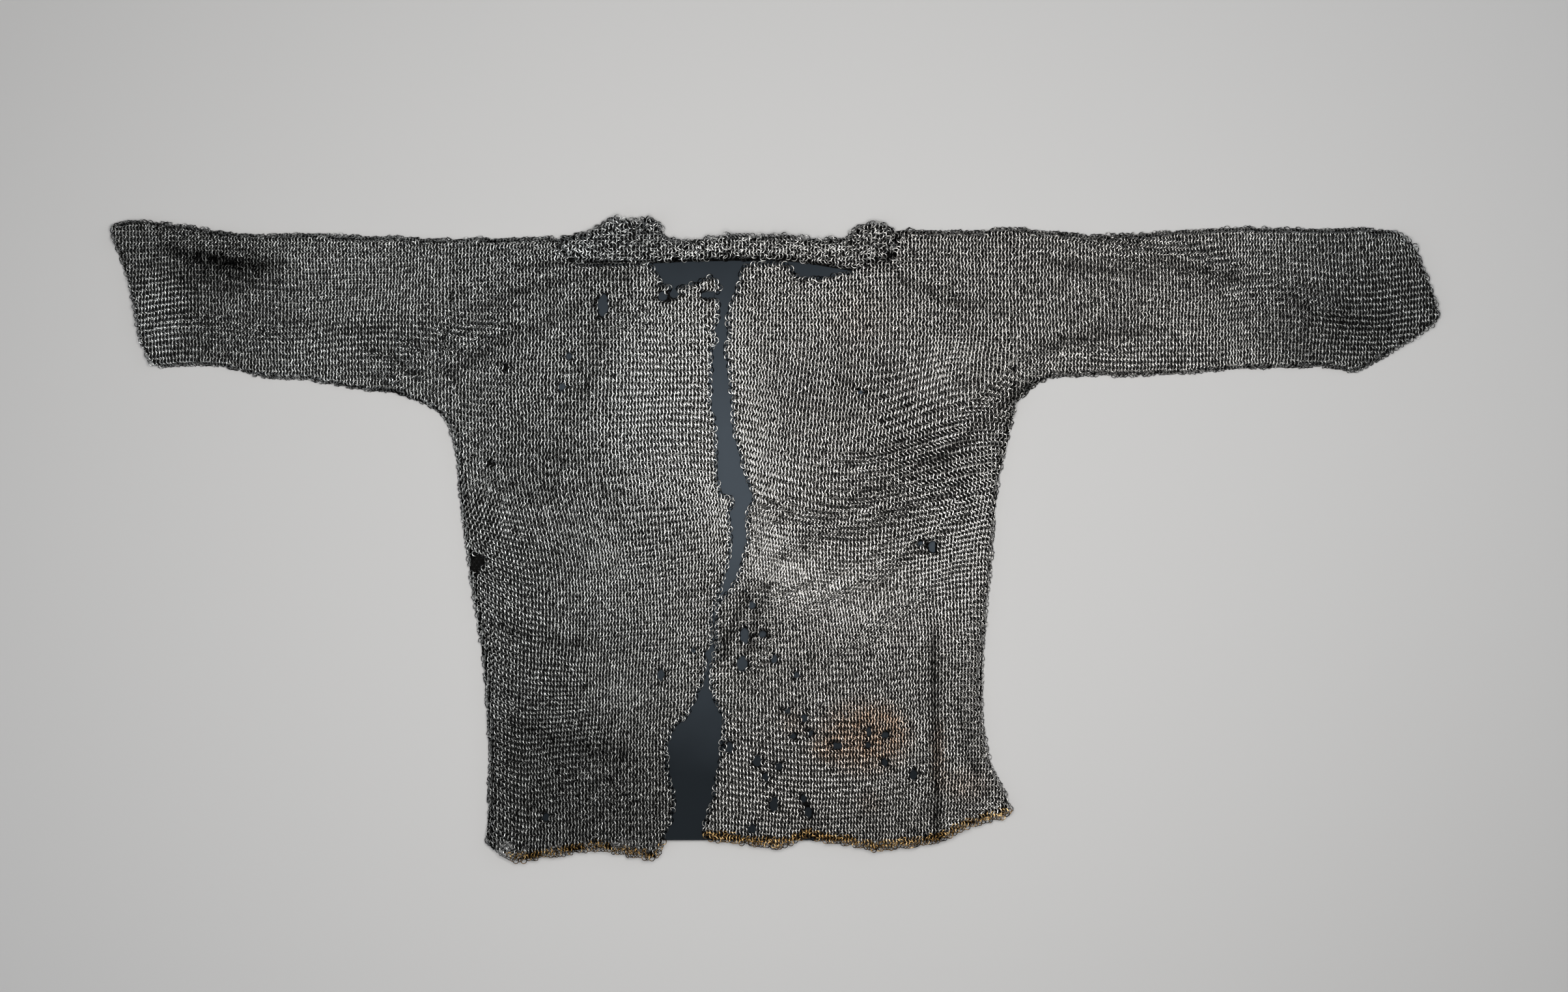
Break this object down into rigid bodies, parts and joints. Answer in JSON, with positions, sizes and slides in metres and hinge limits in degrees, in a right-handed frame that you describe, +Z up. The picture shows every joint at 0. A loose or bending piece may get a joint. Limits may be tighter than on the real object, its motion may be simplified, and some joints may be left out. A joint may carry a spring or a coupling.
{
  "type": "chainmail hauberk on a display board",
  "caption": "Open-fronted mail shirt of linked iron rings, laid flat in a T with its sleeves spread, over a thin flat board that lies inside it.",
  "frame": {"origin": "on the surface under the shirt, at the middle of its overall length and width", "axes": "+X from the wearer's right sleeve to the left sleeve, +Y from the hem to the collar, +Z up out of the open front"},
  "size_m": [1.4938, 0.726, 0.0198],
  "materials": {
    "iron_mail": "forged iron rings, worn bright on their crowns and dark with age between",
    "bright_mail": "brighter iron rings of the collar, bunched",
    "brass_mail": "tarnished brass rings",
    "slate_board": "matt slate-coloured board"
  },
  "bodies": {
    "root": {"back": "iron_mail", "display_board": "slate_board", "right_front": "iron_mail", "left_front": "iron_mail", "right_hem_band": "brass_mail", "left_hem_band": "brass_mail", "right_sleeve": "iron_mail", "left_sleeve": "iron_mail", "collar": "bright_mail"}
  },
  "joints": []
}
